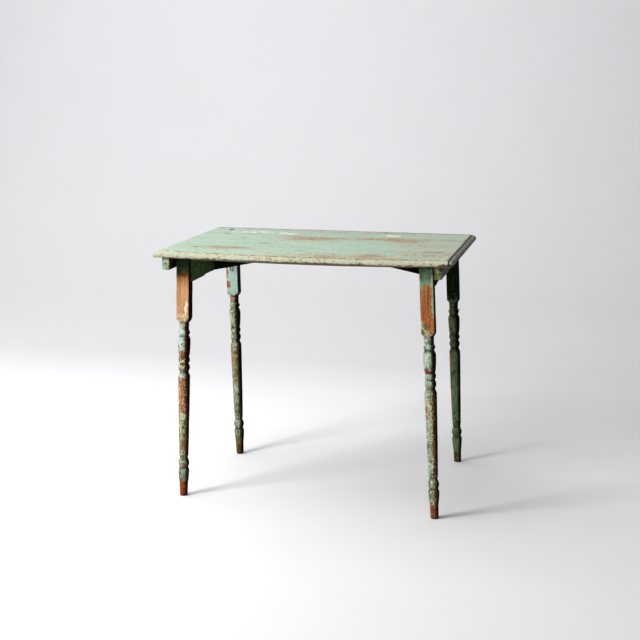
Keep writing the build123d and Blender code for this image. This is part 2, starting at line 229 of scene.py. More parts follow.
def eased(node, name, width, material, body, dents=0.0):
    """A copy of a CAD node with rounded, slightly uneven arrises."""
    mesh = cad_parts[node].data.copy()
    mesh.name = name
    mesh.materials.clear()
    shape = bmesh.new()
    shape.from_mesh(mesh)
    bmesh.ops.remove_doubles(shape, verts=shape.verts, dist=1e-6)
    bmesh.ops.dissolve_limit(
        shape, angle_limit=math.radians(1), verts=shape.verts, edges=shape.edges
    )
    sharp = [edge for edge in shape.edges if edge.is_manifold and edge.calc_face_angle() > 0.6]
    bmesh.ops.bevel(
        shape,
        geom=sharp,
        offset=width,
        offset_type="OFFSET",
        segments=3,
        profile=0.5,
        affect="EDGES",
        clamp_overlap=True,
    )
    bmesh.ops.triangulate(shape, faces=shape.faces)
    if dents:
        for step in (0.03, 0.012):
            edges = [edge for edge in shape.edges if edge.calc_length() > step]
            bmesh.ops.subdivide_edges(shape, edges=edges, cuts=1)
            bmesh.ops.triangulate(shape, faces=shape.faces)
        for vertex in shape.verts:
            push = noise.noise(vertex.co * 45) * dents
            vertex.co += vertex.normal * push
    shape.to_mesh(mesh)
    shape.free()
    made = bpy.data.objects.new(name, mesh)
    bpy.context.scene.collection.objects.link(made)
    mesh.materials.append(material)
    mesh.shade_smooth()
    mesh.set_sharp_from_angle(angle=SHARP_ANGLE)
    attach(made, body)
    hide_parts(node)
    return made


# ---------------------------------------------------------------- tabletop
def steps_from_edge():
    """Distances in from the lip at which the moulding needs a line."""
    fine = (0, 0.00015, 0.0005, 0.001, 0.0017, 0.0025, 0.0034, 0.0046, 0.006, 0.0076)
    rest = (0.0094, 0.011, 0.0118, 0.012, 0.0122, 0.0126, 0.0131, 0.0145, 0.0175, 0.022)
    return fine + rest


def top_height(inset):
    """Height of the upper surface above the underside, at a distance in from the lip."""
    if inset < EDGE_WIDTH:
        share = (EDGE_WIDTH - inset) / EDGE_WIDTH
        rise = THICKNESS - EDGE_QUIRK - EDGE_NOSE
        return EDGE_NOSE + rise * math.sqrt(max(0.0, 1 - share * share))
    climb = min(1.0, (inset - EDGE_WIDTH) / 0.0022)
    climb = climb * climb * (3 - 2 * climb)
    return THICKNESS - EDGE_QUIRK * (1 - climb)


def bottom_height(inset):
    """Height of the lower surface above the underside, at a distance in from the lip."""
    if inset >= EDGE_UNDERCUT:
        return 0.0
    share = (EDGE_UNDERCUT - inset) / EDGE_UNDERCUT
    return EDGE_NOSE * (1 - math.sqrt(max(0.0, 1 - share * share)))


def board_lines(low, high, low_lip, high_lip, spacing):
    """Grid lines across one direction, fine near a moulded lip."""
    edge = steps_from_edge()
    start = [low + step for step in edge] if low_lip else [low, low + 0.0004, low + 0.0012]
    end = [high - step for step in reversed(edge)] if high_lip else [high - 0.0012, high - 0.0004, high]
    count = max(2, round((end[0] - start[-1]) / spacing))
    middle = [start[-1] + (end[0] - start[-1]) * k / count for k in range(1, count)]
    return start + middle + end


def sag(x, y, y_inner):
    """How far the front board has bowed down at a point."""
    reach = max(0.0, (y_inner - y) / (y_inner + HALF_Y))
    return FRONT_SAG * max(0.0, 1 - (x / HALF_X - 0.05) ** 2 * 1.1) * reach**1.6


def board(index, count, material):
    """One board of the top, moulded on its outer edges."""
    node = f"top_board_{index + 1}"
    low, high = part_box(node)
    front, back = index == 0, index == count - 1
    across = board_lines(low.y, high.y, front, back, 0.005)
    along = board_lines(-HALF_X, HALF_X, True, True, 0.007)
    y_inner = high.y if front else -HALF_Y - 1
    upper, lower = [], []
    for y in across:
        for x in along:
            inset = HALF_X - abs(x)
            if front:
                inset = min(inset, y + HALF_Y)
            if back:
                inset = min(inset, HALF_Y - y)
            joint = min(
                1.0 if front else y - low.y,
                1.0 if back else high.y - y,
            )
            crown = JOINT_CROWN * math.exp(-joint / 0.0006)
            wave = BOARD_WAVE * noise.noise(Vector((x * 6, y * 22, index * 7.0)))
            dent = BOARD_DENT * noise.noise(Vector((x * 60, y * 90, index * 3.0)))
            drop = sag(x, y, y_inner) if front else 0.0
            nick = noise.noise(Vector((x * 130, y * 130, 2.0))) * 0.5 + 0.5
            wear = ARRIS_WEAR * max(0.0, nick - 0.55) * (inset < 0.0135)
            chip = 0.0
            if front and inset < 0.006:
                chip = CORNER_CHIP * max(0.0, min(1.0, (x - 0.3) / 0.09)) * (0.6 + 0.4 * nick)
            top = UNDERSIDE + top_height(inset) - crown - drop - wear
            if inset > 0.0003:
                top += wave + dent - 0.0003
            bottom = UNDERSIDE + bottom_height(inset) - drop + chip
            top = min(top, TABLE_TOP)
            upper.append((x, y, top))
            lower.append((x, y, min(bottom, top)))
    columns, rows = len(along), len(across)
    offset = len(upper)
    faces = []
    for row in range(rows - 1):
        for column in range(columns - 1):
            a = row * columns + column
            faces.append((a, a + 1, a + columns + 1, a + columns))
            faces.append(tuple(offset + k for k in (a, a + columns, a + columns + 1, a + 1)))
    rim = list(range(columns))
    rim += [row * columns + columns - 1 for row in range(1, rows)]
    rim += [(rows - 1) * columns + column for column in range(columns - 2, -1, -1)]
    rim += [row * columns for row in range(rows - 2, 0, -1)]
    for k, a in enumerate(rim):
        b = rim[(k + 1) % len(rim)]
        faces.append((b, a, offset + a, offset + b))
    name = f"board_{index + 1}"
    return piece(name, upper + lower, faces, material, "table_top", [node])


# ---------------------------------------------------------------- turned legs
def turning():
    """Stretches of the turning as (height from, radius, height to, radius, swell), in mm."""
    return (
        (0, 9.6, 0.8, 10.4, 0),
        (0.8, 10.4, 3, 11, 0),
        (3, 11, 40, 12, 0),
        (40, 12, 72, 14.9, 0.6),
        (72, 14.9, 84, 11.5, 1.2),
        (84, 11.5, 98, 15.2, 1.0),
        (98, 15.2, 110, 11.6, 0.5),
        (110, 11.6, 114, 10.8, 0),
        (114, 10.8, 119, 12.6, 0.2),
        (119, 12.6, 347, 16.5, 0.55),
        (347, 16.5, 358, 13.2, 1.1),
        (358, 13.2, 367, 13.2, -0.3),
        (367, 13.2, 383, 13.2, 2.6),
        (383, 13.2, 389, 13.2, -0.4),
        (389, 13.2, 404, 13.2, 2.6),
        (404, 13.2, 408, 14.3, -0.2),
        (408, 14.3, 449, 17, 0.9),
        (449, 17, 465, 13.2, 1.6),
        (465, 13.2, 469, 13.2, -0.4),
        (469, 13.2, 481, 13.2, 2.6),
        (481, 13.2, 496, 13, -0.1),
        (496, 13, 500, 13, 1.3),
        (500, 13, 508, 17, -0.8),
        (508, 17, 520, 28.5, 0.8),
        (520, 28.5, 694, 28.5, 0),
    )


def turned_rings():
    """Heights and radii of the rings of a leg, in metres."""
    rings = []
    for low, start, high, end, swell in turning():
        length = high - low
        count = max(2, round(length / (1.2 if swell else 4)))
        if length > 100:
            count = round(length / 5)
        for k in range(count):
            share = k / count
            bulge = swell * math.sqrt(max(0.0, 1 - (2 * share - 1) ** 2))
            radius = start + (end - start) * share + bulge
            rings.append(((low + length * share) / 1000, radius / 1000))
    rings.append((0.694, 0.0285))
    return rings


def square_reach(angle):
    """Distance from the centre to a square's side, its corners rounded by about a millimetre."""
    x, y = abs(math.cos(angle)), abs(math.sin(angle))
    power = 34
    return BLOCK_HALF / (x**power + y**power) ** (1 / power)


def leg_ends(node):
    """Top centre and foot centre of a leg, read from its CAD mesh."""
    points = [vertex.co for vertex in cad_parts[node].data.vertices]
    ends = []
    for level in (max(p.z for p in points), min(p.z for p in points)):
        ring = [p for p in points if abs(p.z - level) < 1e-5]
        low = Vector((min(p.x for p in ring), min(p.y for p in ring), level))
        high = Vector((max(p.x for p in ring), max(p.y for p in ring), level))
        ends.append((low + high) / 2)
    return ends


def leg(node, name, body, material, seed):
    """One leg: the turning and its square block, along the line of the CAD leg."""
    top, foot = leg_ends(node)
    upward = (top - foot).normalized()
    cross = Vector((0, upward.z, -upward.y)).normalized()
    along = cross.cross(upward)
    angles = [math.tau * k / 56 for k in range(56)]
    for corner in range(4):
        middle = math.tau * (corner + 0.5) / 4
        angles += [middle + d for d in (-0.045, -0.025, -0.01, 0.01, 0.025, 0.045)]
    angles.sort()
    stretch = UNDERSIDE / PROFILE_HEIGHT
    vertices = []
    rings = turned_rings()
    for height, radius in rings:
        for angle in angles:
            reach = min(radius, square_reach(angle))
            spot = Vector((math.cos(angle), math.sin(angle), 0)) * 0.02
            spot.z = height
            spot += Vector((0, 0, seed))
            rough = noise.noise(spot * 160) * 0.00022 + noise.noise(spot * 420) * 0.0001
            flat = noise.noise(Vector((angle * 0.8, height * 30, seed))) * 0.00025
            reach += rough + flat
            point = foot + upward * height * stretch
            point += (along * math.cos(angle) + cross * math.sin(angle)) * reach
            if height > 0.69:
                point -= upward * ((point.z - UNDERSIDE) / upward.z)
            if height == 0 or point.z < 0:
                point -= upward * (point.z / upward.z)
            vertices.append(tuple(point))
    count = len(angles)
    faces = []
    for row in range(len(rings) - 1):
        for k in range(count):
            a = row * count + k
            b = row * count + (k + 1) % count
            faces.append((a, b, b + count, a + count))
    vertices += [tuple(foot), tuple(top)]
    last = (len(rings) - 1) * count
    for k in range(count):
        after = (k + 1) % count
        faces.append((after, k, len(vertices) - 2))
        faces.append((last + k, last + after, len(vertices) - 1))
    return piece(name, vertices, faces, material, body, [node])


def splinter(node, name, body, material):
    """Sliver of wood that has lifted off the back right leg, to the right and upward."""
    head, foot = leg_ends(node)
    start = foot + (head - foot) * (0.474 / UNDERSIDE) + Vector((0.0125, -0.002, 0))
    vertices, faces = [], []
    rings, sides = 9, 6
    for ring in range(rings):
        share = ring / (rings - 1)
        middle = start + Vector((0.0115 * share, -0.0005, 0.004 + 0.013 * share**1.6))
        thick = 0.0017 * (1 - share) + 0.00012
        for k in range(sides):
            angle = math.tau * k / sides
            offset = Vector((0.5 * math.cos(angle), math.sin(angle), 1.6 * math.cos(angle)))
            vertices.append(tuple(middle + offset * thick))
    for ring in range(rings - 1):
        for k in range(sides):
            a = ring * sides + k
            b = ring * sides + (k + 1) % sides
            faces.append((a, b, b + sides, a + sides))
    faces.append(tuple(range(sides - 1, -1, -1)))
    faces.append(tuple((rings - 1) * sides + k for k in range(sides)))
    return piece(name, vertices, faces, material, body, [])


# ---------------------------------------------------------------- materials
def patchy(paint, pattern, cover, soft=0.02):
    """Mask that keeps a share of the surface, with edges that follow a noise pattern."""
    lifted = paint.math("MULTIPLY_ADD", cover, 0.6, pattern)
    return paint.spread(lifted, 0.8 - soft, 0.8 + soft)


def nearness(paint, spots, place):
    """Smallest distance to any spot, counted in the spot's own half sizes."""
    nearest = None
    for x, y, half_x, half_y in spots:
        moved = paint.add("ShaderNodeVectorMath", operation="MULTIPLY_ADD")
        paint.tree.links.new(place, moved.inputs[0])
        moved.inputs[1].default_value = (1 / half_x, 1 / half_y, 0)
        moved.inputs[2].default_value = (-x / half_x, -y / half_y, 0)
        away = paint.add(
            "ShaderNodeVectorMath", {"Vector": moved.outputs[0]}, operation="LENGTH"
        ).outputs["Value"]
        nearest = away if nearest is None else paint.math("MINIMUM", nearest, away)
    return nearest


def warped(paint, reach, detail_scale, seed):
    """Object coordinates pushed about by a soft colour noise, so outlines wander."""
    moved = paint.add(
        "ShaderNodeVectorMath", {0: paint.place, 1: detail_scale, 2: (seed, seed, 0)},
        operation="MULTIPLY_ADD",
    )
    cloud = paint.add(
        "ShaderNodeTexNoise",
        {"Vector": moved.outputs[0], "Scale": 1.0, "Detail": 3.0, "Roughness": 0.6},
    )
    centred = paint.add(
        "ShaderNodeVectorMath", {0: cloud.outputs["Color"], 1: (0.5, 0.5, 0.5)}, operation="SUBTRACT"
    )
    push = paint.add(
        "ShaderNodeVectorMath", {0: centred.outputs[0], 1: reach, 2: paint.place},
        operation="MULTIPLY_ADD",
    )
    return push.outputs[0]


def spotted(paint, spots, ragged, amount, soft=0.12, place=None):
    """Mask of the spots with a ragged outline."""
    near = nearness(paint, spots, place or paint.place)
    uneven = paint.math("MULTIPLY_ADD", ragged, amount, near)
    edge = 1 + amount / 2
    return paint.spread(uneven, edge + soft, edge - soft)


# Marks on the top: centre x, centre y, half length, half width, in metres
BARE_STREAKS = (
    (-0.050, 0.070, 0.066, 0.040),
    (0.020, 0.084, 0.034, 0.026),
    (0.128, 0.104, 0.034, 0.024),
    (0.196, 0.100, 0.030, 0.022),
    (0.236, 0.080, 0.044, 0.036),
    (0.355, 0.120, 0.052, 0.010),
    (0.334, -0.140, 0.020, 0.020),
    (-0.222, -0.184, 0.056, 0.022),
    (0.186, -0.248, 0.034, 0.020),
    (0.250, -0.284, 0.040, 0.014),
    (0.056, -0.276, 0.046, 0.016),
    (-0.064, -0.286, 0.040, 0.010),
)
FAINT_STREAKS = (
    (0.17, 0.10, 0.20, 0.060),
    (-0.25, -0.185, 0.12, 0.040),
    (0.12, -0.255, 0.22, 0.040),
    (0.33, -0.20, 0.09, 0.08),
    (0.05, 0.24, 0.34, 0.035),
    (-0.05, 0.08, 0.14, 0.06),
    (0.30, -0.02, 0.10, 0.05),
)
WHITE_SCUFFS = (
    (-0.272, 0.178, 0.034, 0.014),
    (-0.225, 0.186, 0.028, 0.010),
    (-0.150, 0.176, 0.024, 0.016),
    (0.188, 0.192, 0.016, 0.022),
    (-0.205, 0.165, 0.008, 0.008),
)
NAIL_HOLES = (
    (-0.339, 0.233, 0.007, 0.018),
)
DARK_SPOTS = (
    (-0.323, 0.125, 0.008, 0.010),
    (-0.321, -0.188, 0.009, 0.008),
    (-0.155, -0.060, 0.014, 0.007),
    (-0.245, 0.035, 0.012, 0.008),
    (-0.020, -0.190, 0.014, 0.006),
)
TOP_GAIN = 0.73


def top_tone(*channels):
    """Paint colour that looks as given when the studio light falls on the top."""
    red, green, blue, solid = tone(*channels)
    return (red * TOP_GAIN, green * TOP_GAIN, blue * TOP_GAIN, solid)


def top_paint(name, seed):
    """Paint of one board of the top."""
    paint = Paint(name)
    cloud = paint.noise((5, 14, 5), 3, 0.5, seed)
    streak = paint.noise((7, 150, 30), 5, 0.6, seed + 2)
    fine = paint.noise((40, 420, 60), 3, 0.6, seed + 4)
    grit = paint.noise((420, 420, 420), 3, 0.6, 1)
    ragged = paint.noise((92, 50, 60), 6, 0.7, 3)
    flecks = paint.noise((150, 56, 90), 5, 0.7, seed + 13)
    blotch = paint.noise((90, 90, 90), 5, 0.66, 7)

    # Paint of the field: mint, clouded and streaked along the boards
    colour = paint.ramp(
        cloud,
        [
            (0.30, top_tone(168, 204, 186)),
            (0.46, top_tone(180, 214, 194)),
            (0.58, top_tone(188, 212, 190)),
            (0.72, top_tone(194, 206, 182)),
        ],
    )
    colour = paint.mix(paint.spread(streak, 0.50, 0.66, 0, 0.65), colour, top_tone(206, 212, 184))
    colour = paint.mix(paint.spread(streak, 0.46, 0.32, 0, 0.7), colour, top_tone(148, 178, 160))
    colour = paint.mix(paint.spread(fine, 0.56, 0.78, 0, 0.5), colour, top_tone(150, 172, 148))
    colour = paint.mix(paint.spread(paint.x, 0.0, 0.36, 0, 0.5), colour, top_tone(184, 197, 174))
    wandering = warped(paint, (0.16, 0.075, 0), (11, 17, 11), 4.0)
    tired = spotted(paint, FAINT_STREAKS, ragged, 1.6, 0.5, wandering)
    colour = paint.mix(paint.times(tired, 0.5), colour, top_tone(190, 182, 156))
    colour = paint.mix(paint.spread(flecks, 0.54, 0.62, 0, 0.6), colour, top_tone(204, 200, 166))
    colour = paint.mix(paint.spread(flecks, 0.46, 0.37, 0, 0.7), colour, top_tone(132, 162, 142))
    colour = paint.mix(paint.spread(ragged, 0.60, 0.66, 0, 0.6), colour, top_tone(172, 144, 112))
    uneven_y = paint.math("MULTIPLY_ADD", ragged, 0.05, paint.y)
    back = paint.spread(uneven_y, HALF_Y - 0.016, HALF_Y + 0.012)
    colour = paint.mix(paint.times(back, 0.9), colour, top_tone(118, 114, 92))

    # Bare patches, scuffs and holes
    bare = spotted(paint, BARE_STREAKS, ragged, 5.4, 0.10, wandering)
    islands = paint.noise((170, 64, 90), 5, 0.72, 21)
    bare = paint.times(bare, paint.spread(islands, 0.60, 0.55))
    flaked = patchy(paint, ragged, paint.spread(tired, 0, 1, 0.12, 0.40))
    bare = paint.math("MAXIMUM", bare, paint.times(flaked, tired))
    timber = paint.ramp(
        fine,
        [(0.3, top_tone(122, 92, 60)), (0.5, top_tone(176, 144, 106)), (0.7, top_tone(208, 182, 144))],
    )
    colour = paint.mix(paint.times(bare, 0.85), colour, timber)
    scuff = spotted(paint, WHITE_SCUFFS, ragged, 3.4, 0.3, wandering)
    colour = paint.mix(scuff, colour, top_tone(236, 240, 226))
    knot = spotted(paint, DARK_SPOTS, flecks, 2.6, 0.5)
    colour = paint.mix(paint.times(knot, 0.7), colour, top_tone(70, 104, 84))
    hole = spotted(paint, NAIL_HOLES, flecks, 1.6, 0.3)
    colour = paint.mix(hole, colour, top_tone(16, 34, 22))

    # Joints between the boards
    pitch = 2 * HALF_Y / BOARDS
    joint = paint.math("PINGPONG", paint.math("ADD", paint.y, HALF_Y), pitch / 2)
    seam = paint.spread(joint, 0.0022, 0.0006)
    inner = paint.spread(paint.math("ABSOLUTE", paint.y), HALF_Y - 0.03, HALF_Y - 0.04)
    seam = paint.times(seam, inner)
    seam = paint.times(seam, paint.spread(cloud, 0.3, 0.6, 0.25, 0.7))
    colour = paint.mix(seam, colour, top_tone(112, 116, 88))

    # Moulded edge: cream and mint with brown wear, a bare arris and a bare lip
    inset_x = paint.math("SUBTRACT", HALF_X, paint.math("ABSOLUTE", paint.x))
    inset_y = paint.math("SUBTRACT", HALF_Y, paint.math("ABSOLUTE", paint.y))
    inset = paint.math("MINIMUM", inset_x, inset_y)
    moulding = paint.spread(inset, EDGE_WIDTH + 0.0003, EDGE_WIDTH - 0.0006)
    band = paint.ramp(
        blotch,
        [
            (0.32, top_tone(128, 108, 80)),
            (0.40, top_tone(184, 178, 146)),
            (0.48, top_tone(212, 210, 182)),
            (0.56, top_tone(194, 206, 178)),
            (0.66, top_tone(166, 188, 156)),
        ],
    )
    colour = paint.mix(moulding, colour, band)
    brown_band = patchy(paint, paint.noise((110, 110, 200), 5, 0.68, 11), 0.30)
    brown_band = paint.times(brown_band, moulding)
    colour = paint.mix(paint.times(brown_band, 0.8), colour, top_tone(128, 102, 74))
    off_arris = paint.math("ABSOLUTE", paint.math("SUBTRACT", inset, EDGE_WIDTH + 0.0014))
    worn = paint.math("MULTIPLY_ADD", ragged, -0.030, 0.0165)
    arris = paint.spread(paint.math("ADD", off_arris, worn), 0.0042, 0.0014)
    rubbed = paint.ramp(
        paint.noise((70, 90, 90), 4, 0.6, 9),
        [
            (0.34, top_tone(104, 82, 66)),
            (0.44, top_tone(170, 136, 116)),
            (0.62, top_tone(204, 176, 152)),
        ],
    )
    colour = paint.mix(paint.times(arris, 0.9), colour, rubbed)
    uneven_x = paint.math("MULTIPLY_ADD", ragged, 0.012, paint.x)
    left_rim = paint.spread(uneven_x, 0.0095 - HALF_X, 0.0035 - HALF_X)
    colour = paint.mix(paint.times(left_rim, 0.75), colour, top_tone(112, 108, 82))

    # Right end: the band facing right is painted grey as shade, with a dark inner line
    on_right = paint.spread(paint.x, 0, 0.1)
    shaded = paint.times(paint.spread(inset_x, 0.0118, 0.0110), on_right)
    right_end_shade_greys = paint.ramp(
        blotch,
        [
            (0.36, top_tone(46, 44, 34)),
            (0.46, top_tone(120, 123, 106)),
            (0.60, top_tone(186, 192, 174)),
        ],
    )
    colour = paint.mix(paint.times(shaded, 0.85), colour, right_end_shade_greys)
    # The dark line in the quirk is partly dirt and partly painted shade
    ragged_line = paint.math("MULTIPLY_ADD", ragged, -0.006, inset_x)
    quirk_dirt_and_shade = paint.spread(paint.math("SUBTRACT", ragged_line, EDGE_WIDTH - 0.003), -0.0046, -0.0026)
    outside_arris = paint.spread(inset_x, EDGE_WIDTH + 0.0018, EDGE_WIDTH + 0.0004)
    quirk_dirt_and_shade = paint.times(quirk_dirt_and_shade, outside_arris)
    quirk_dirt_and_shade = paint.times(quirk_dirt_and_shade, paint.spread(paint.x, 0, 0.1, 0.0, 0.97))
    colour = paint.mix(quirk_dirt_and_shade, colour, top_tone(20, 24, 14))

    # Bare lower lip, dark and broken toward the right front corner
    rise = paint.math("SUBTRACT", paint.z, UNDERSIDE)
    corner = paint.spread(paint.x, HALF_X - 0.055, HALF_X - 0.008)
    corner_rise = paint.math("MULTIPLY_ADD", corner, 0.0075, -0.0075)
    low_edge = paint.math("MULTIPLY_ADD", blotch, 0.020, corner_rise)
    lip = paint.spread(paint.math("SUBTRACT", rise, low_edge), 0.0, -0.0022)
    lip = paint.times(lip, paint.spread(inset, 0.006, 0.003))
    chipped = paint.spread(paint.x, 0.22, 0.34)
    lip_tone = paint.mix(chipped, top_tone(84, 66, 44), top_tone(140, 56, 26))
    lip_tone = paint.mix(corner, lip_tone, top_tone(66, 18, 10))
    colour = paint.mix(paint.times(lip, 0.9), colour, lip_tone)

    # Underside: bare aged boards
    below = paint.spread(rise, 0.0022, 0.0008)
    below = paint.times(below, paint.spread(inset, 0.0024, 0.0034))
    figure = paint.noise((6, 130, 20), 6, 0.6, seed + 6, 0.4)
    raw = paint.ramp(
        figure,
        [
            (0.3, tone(58, 42, 30)),
            (0.45, tone(96, 74, 52)),
            (0.6, tone(122, 98, 70)),
            (0.72, tone(84, 82, 58)),
        ],
    )
    colour = paint.mix(below, colour, raw)

    rough = paint.spread(ragged, 0.35, 0.7, 0.5, 0.72)
    normal = paint.bump(grit, 0.25, 0.0003)
    normal = paint.bump(streak, 0.35, 0.0007, normal)
    relief = paint.math("MAXIMUM", bare, arris)
    normal = paint.bump(relief, 0.5, -0.0004, normal)
    return paint.finish(colour, rough, normal, None, 0.22)


def leg_paint(name, foot, head, seed, marks):
    """Paint of one turned leg, worn off by height and by side, with painted shade on its right side."""
    paint = Paint(name)
    stand = paint.times(paint.z, 1 / UNDERSIDE)
    slope = (head - foot) / UNDERSIDE
    off_x = paint.math("SUBTRACT", paint.x, paint.math("MULTIPLY_ADD", paint.z, slope.x, foot.x))
    off_y = paint.math("SUBTRACT", paint.y, paint.math("MULTIPLY_ADD", paint.z, slope.y, foot.y))
    chips = paint.noise((120, 120, 84), 6, 0.68, seed)
    broad = paint.noise((26, 26, 20), 4, 0.6, seed + 3)
    grain = paint.noise((260, 260, 9), 5, 0.62, seed + 5, 0.3)
    fine = paint.noise((700, 700, 500), 3, 0.6, seed)
    height = paint.math("MULTIPLY_ADD", broad, 0.05, paint.math("ADD", stand, -0.025))

    def zones(stops, maker, height=height):
        return maker(height, [(z / PROFILE_HEIGHT, value) for z, value in stops])

    timber = zones([(z, tone(*c)) for z, c in marks["wood"]], paint.ramp)
    dark_grain = paint.spread(grain, 0.52, 0.36, 0, 0.65)
    timber = paint.mix(dark_grain, timber, tone(70, 40, 22))
    timber = paint.mix(paint.spread(grain, 0.56, 0.72, 0, 0.4), timber, tone(214, 166, 118))

    coat = zones([(z, tone(*c)) for z, c in marks["coat"]], paint.ramp)
    shade = paint.noise((60, 60, 34), 4, 0.6, seed + 8)
    smooth = zones([(0, 1.0), (0.504, 1.0), (0.520, 0.12), (0.692, 0.06)], paint.level, stand)
    pale = paint.times(paint.spread(shade, 0.52, 0.64, 0, marks["pale_share"]), smooth)
    coat = paint.mix(pale, coat, tone(*marks["pale"]))
    deep = paint.times(paint.spread(shade, 0.47, 0.34), smooth)
    coat = paint.mix(deep, coat, tone(*marks["deep"]))

    # Paint is rubbed off more on the two sides, and the bare wood on the right is darkened as painted
    # shade
    cover = zones(marks["cover"], paint.level, stand)
    to_right = paint.spread(paint.facing_x, 0.16, 0.56)
    to_left = paint.spread(paint.facing_x, -0.45, -0.85)
    rubbed = paint.times(to_right, zones(marks["rub_right"], paint.level, stand))
    rubbed = paint.math("MULTIPLY_ADD", to_left, zones(marks["rub_left"], paint.level, stand), rubbed)
    mask = patchy(paint, chips, paint.math("SUBTRACT", cover, rubbed))
    timber = paint.mix(paint.times(to_right, 0.75), timber, tone(*marks["right_shade_wood"]))
    colour = paint.mix(mask, timber, coat)
    specks = paint.noise((200, 200, 150), 5, 0.74, seed + 11)
    turned = zones(
        [(0, 0.15), (0.042, 0.25), (0.06, 1.0), (0.51, 1.0), (0.528, 0.35), (0.56, 0.12), (0.692, 0.1)],
        paint.level,
        stand,
    )
    rusty = paint.times(paint.spread(specks, 0.54, 0.60, 0, 0.9), turned)
    colour = paint.mix(rusty, colour, tone(*marks["speck"]))
    pitted = paint.times(paint.spread(specks, 0.455, 0.40, 0, 0.9), turned)
    colour = paint.mix(pitted, colour, tone(*marks["light_speck"]))
    pores = paint.noise((340, 340, 280), 4, 0.72, seed + 17)
    pores = paint.times(paint.spread(pores, 0.56, 0.62, 0, 0.85), turned)
    colour = paint.mix(pores, colour, tone(38, 26, 16))

    for z, half_z, x, y, half, tint, share in marks["spots"]:
        away = paint.add("ShaderNodeCombineXYZ")
        for index, (value, middle, reach) in enumerate(
            ((off_x, x, half), (off_y, y, half), (paint.z, z, half_z))
        ):
            scaled = paint.math("MULTIPLY_ADD", value, 1 / reach, -middle / reach)
            paint.tree.links.new(scaled, away.inputs[index])
        far = paint.add(
            "ShaderNodeVectorMath", {"Vector": away.outputs[0]}, operation="LENGTH"
        ).outputs["Value"]
        uneven = paint.math("MULTIPLY_ADD", chips, 6.0, far)
        spot = paint.spread(uneven, 4.12, 3.88)
        colour = paint.mix(paint.times(spot, share), colour, tone(*tint))

    # Darker brown in the turned grooves
    grooves = paint.level(
        stand,
        [
            (0.0, 0.5), (0.012, 0.0), (0.112, 0), (0.121, 0.8), (0.130, 0), (0.157, 0),
            (0.165, 0.85), (0.174, 0), (0.508, 0), (0.524, 0.75), (0.545, 0), (0.552, 0),
            (0.558, 0.8), (0.566, 0), (0.578, 0), (0.586, 0.8), (0.594, 0), (0.66, 0),
            (0.674, 0.8), (0.683, 0), (0.695, 0), (0.704, 0.6), (0.716, 0), (0.725, 0.5), (0.735, 0),
        ],
    )
    groove_darkening = paint.times(grooves, paint.spread(broad, 0.32, 0.6, 0.55, 1.0))
    colour = paint.mix(groove_darkening, colour, tone(36, 26, 16))

    # Painted shade on the side turned to the right, away from the lamps: brown at first and then nearly
    # black
    edge = paint.math("MULTIPLY_ADD", chips, 0.9, paint.facing_x)
    # Higher up, under the top, the painted shade reaches further round
    upper_shade_reach = zones([(0, 0), (0.345, 0), (0.36, 0.2), (0.692, 0.2)], paint.level, stand)
    edge = paint.math("ADD", edge, upper_shade_reach)
    right_brown_shade = paint.spread(edge, marks["right_shade_from"] + 0.36, marks["right_shade_from"] + 0.62, 0, 0.85)
    colour = paint.mix(right_brown_shade, colour, tone(*marks["right_brown_shade"]))
    right = paint.spread(edge, marks["right_shade_from"] + 0.60, marks["right_shade_from"] + 0.86, 0, marks["right_shade_share"])
    colour = paint.mix(right, colour, tone(*marks["right_shade_tone"]))

    rough = paint.math("MULTIPLY_ADD", mask, -0.12, 0.92)
    normal = paint.bump(fine, 0.25, 0.0002)
    normal = paint.bump(grain, 0.3, 0.0005, normal)
    normal = paint.bump(mask, 0.6, 0.0005, normal)
    return paint.finish(colour, rough, normal, None, 0.02)


